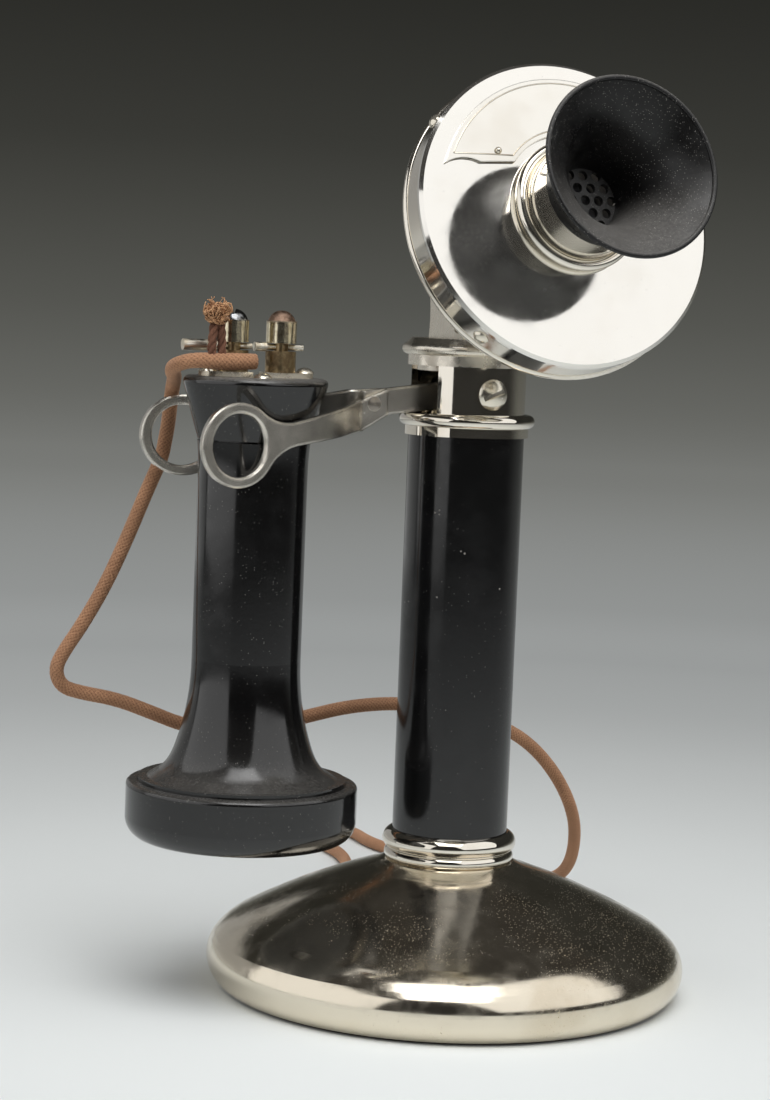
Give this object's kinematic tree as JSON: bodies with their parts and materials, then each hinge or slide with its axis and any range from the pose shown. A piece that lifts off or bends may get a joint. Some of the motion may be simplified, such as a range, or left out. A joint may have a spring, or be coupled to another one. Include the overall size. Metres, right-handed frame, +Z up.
{
  "type": "candlestick telephone",
  "caption": "Candlestick desk telephone: domed base and stem with a tilting transmitter, a fork switch hook and a hung receiver on a cloth cord.",
  "frame": {"origin": "centre of the base's felt, on the table under the stem's axis", "axes": "+Z up the stem, -Y the way the transmitter faces, -X towards the hook and receiver"},
  "size_m": [0.2164, 0.3446, 0.2845],
  "materials": {
    "nickel_plate": "polished nickel plate, worn to brass at edges",
    "nickel_screws": "polished nickel screw heads",
    "felt": "black felt",
    "steel": "plain steel",
    "cast_weight": "rough cast iron",
    "fibre": "vulcanised fibre",
    "brass": "plain brass",
    "hard_rubber": "polished black hard rubber",
    "black_enamel": "semi-gloss black enamel on brass tube",
    "gasket": "soft rubber",
    "winding": "silk-covered wire",
    "cord_braid": "brown braided cloth"
  },
  "bodies": {
    "stand": {"base_shell": "nickel_plate", "base_collar": "nickel_plate", "hook_collar": "nickel_plate", "transmitter_perch": "nickel_plate", "hook_pivot_screw": "nickel_screws", "perch_screws": "nickel_screws", "tilt_screw": "nickel_screws", "tilt_nut": "nickel_screws", "felt_pad": "felt", "base_plate": "steel", "base_plate_screws": "steel", "stem_nut": "steel", "switch_bracket": "steel", "switch_screws": "steel", "base_weight": "cast_weight", "terminal_block": "fibre", "switch_insulators": "fibre", "terminal_screws": "brass", "switch_springs": "brass", "cord_bushing": "hard_rubber", "stem_tube": "black_enamel", "stem_leads": "winding", "receiver_cord": "cord_braid"},
    "transmitter": {"transmitter_cup": "nickel_plate", "face_plate": "nickel_plate", "rim_screws": "nickel_screws", "transmitter_lug": "nickel_plate", "lug_screws": "steel", "mouthpiece_tube": "nickel_plate", "mouthpiece": "hard_rubber", "mouthpiece_grille": "hard_rubber", "badge_plate": "nickel_plate", "badge_pins": "nickel_screws", "transmitter_diaphragm": "steel", "diaphragm_gasket": "gasket", "carbon_button": "brass", "button_bridge": "steel", "button_screw": "steel", "damping_springs": "brass"},
    "hook": {"hook_lever": "nickel_plate", "fork_arms": "nickel_plate", "fork_rivet": "nickel_screws", "switch_stud": "fibre"},
    "receiver": {"receiver_shell": "hard_rubber", "tail_cap": "hard_rubber", "ear_cap": "hard_rubber", "receiver_diaphragm": "steel", "receiver_magnet": "cast_weight", "pole_pieces": "steel", "receiver_coils": "winding", "magnet_hanger": "steel", "terminal_tabs": "nickel_plate", "tab_screws": "nickel_screws", "binding_posts": "nickel_plate", "binding_nuts": "nickel_plate", "cord_tips": "nickel_plate", "receiver_cord_top": "cord_braid", "cord_strands": "cord_braid", "cord_tuft": "cord_braid"}
  },
  "joints": [
    {"name": "transmitter_tilt", "type": "hinge", "parent": "stand", "child": "transmitter", "pos_m": [0, 0, 0.2211], "axis": [-1, 0, 0], "range_deg": [-28, 27]},
    {"name": "receiver_lift", "type": "slide", "parent": "stand", "child": "receiver", "axis": [-0.7071, 0, 0.7071], "range_m": [0, 0.085]},
    {"name": "hook_lift", "type": "hinge", "parent": "stand", "child": "hook", "pos_m": [0, 0, 0.187], "axis": [0, 1, 0], "range_deg": [0, 12.01]}
  ],
  "couplings": [
    {"joint": "hook_lift", "follows": "receiver_lift", "rad_per_m": 2.464}
  ]
}
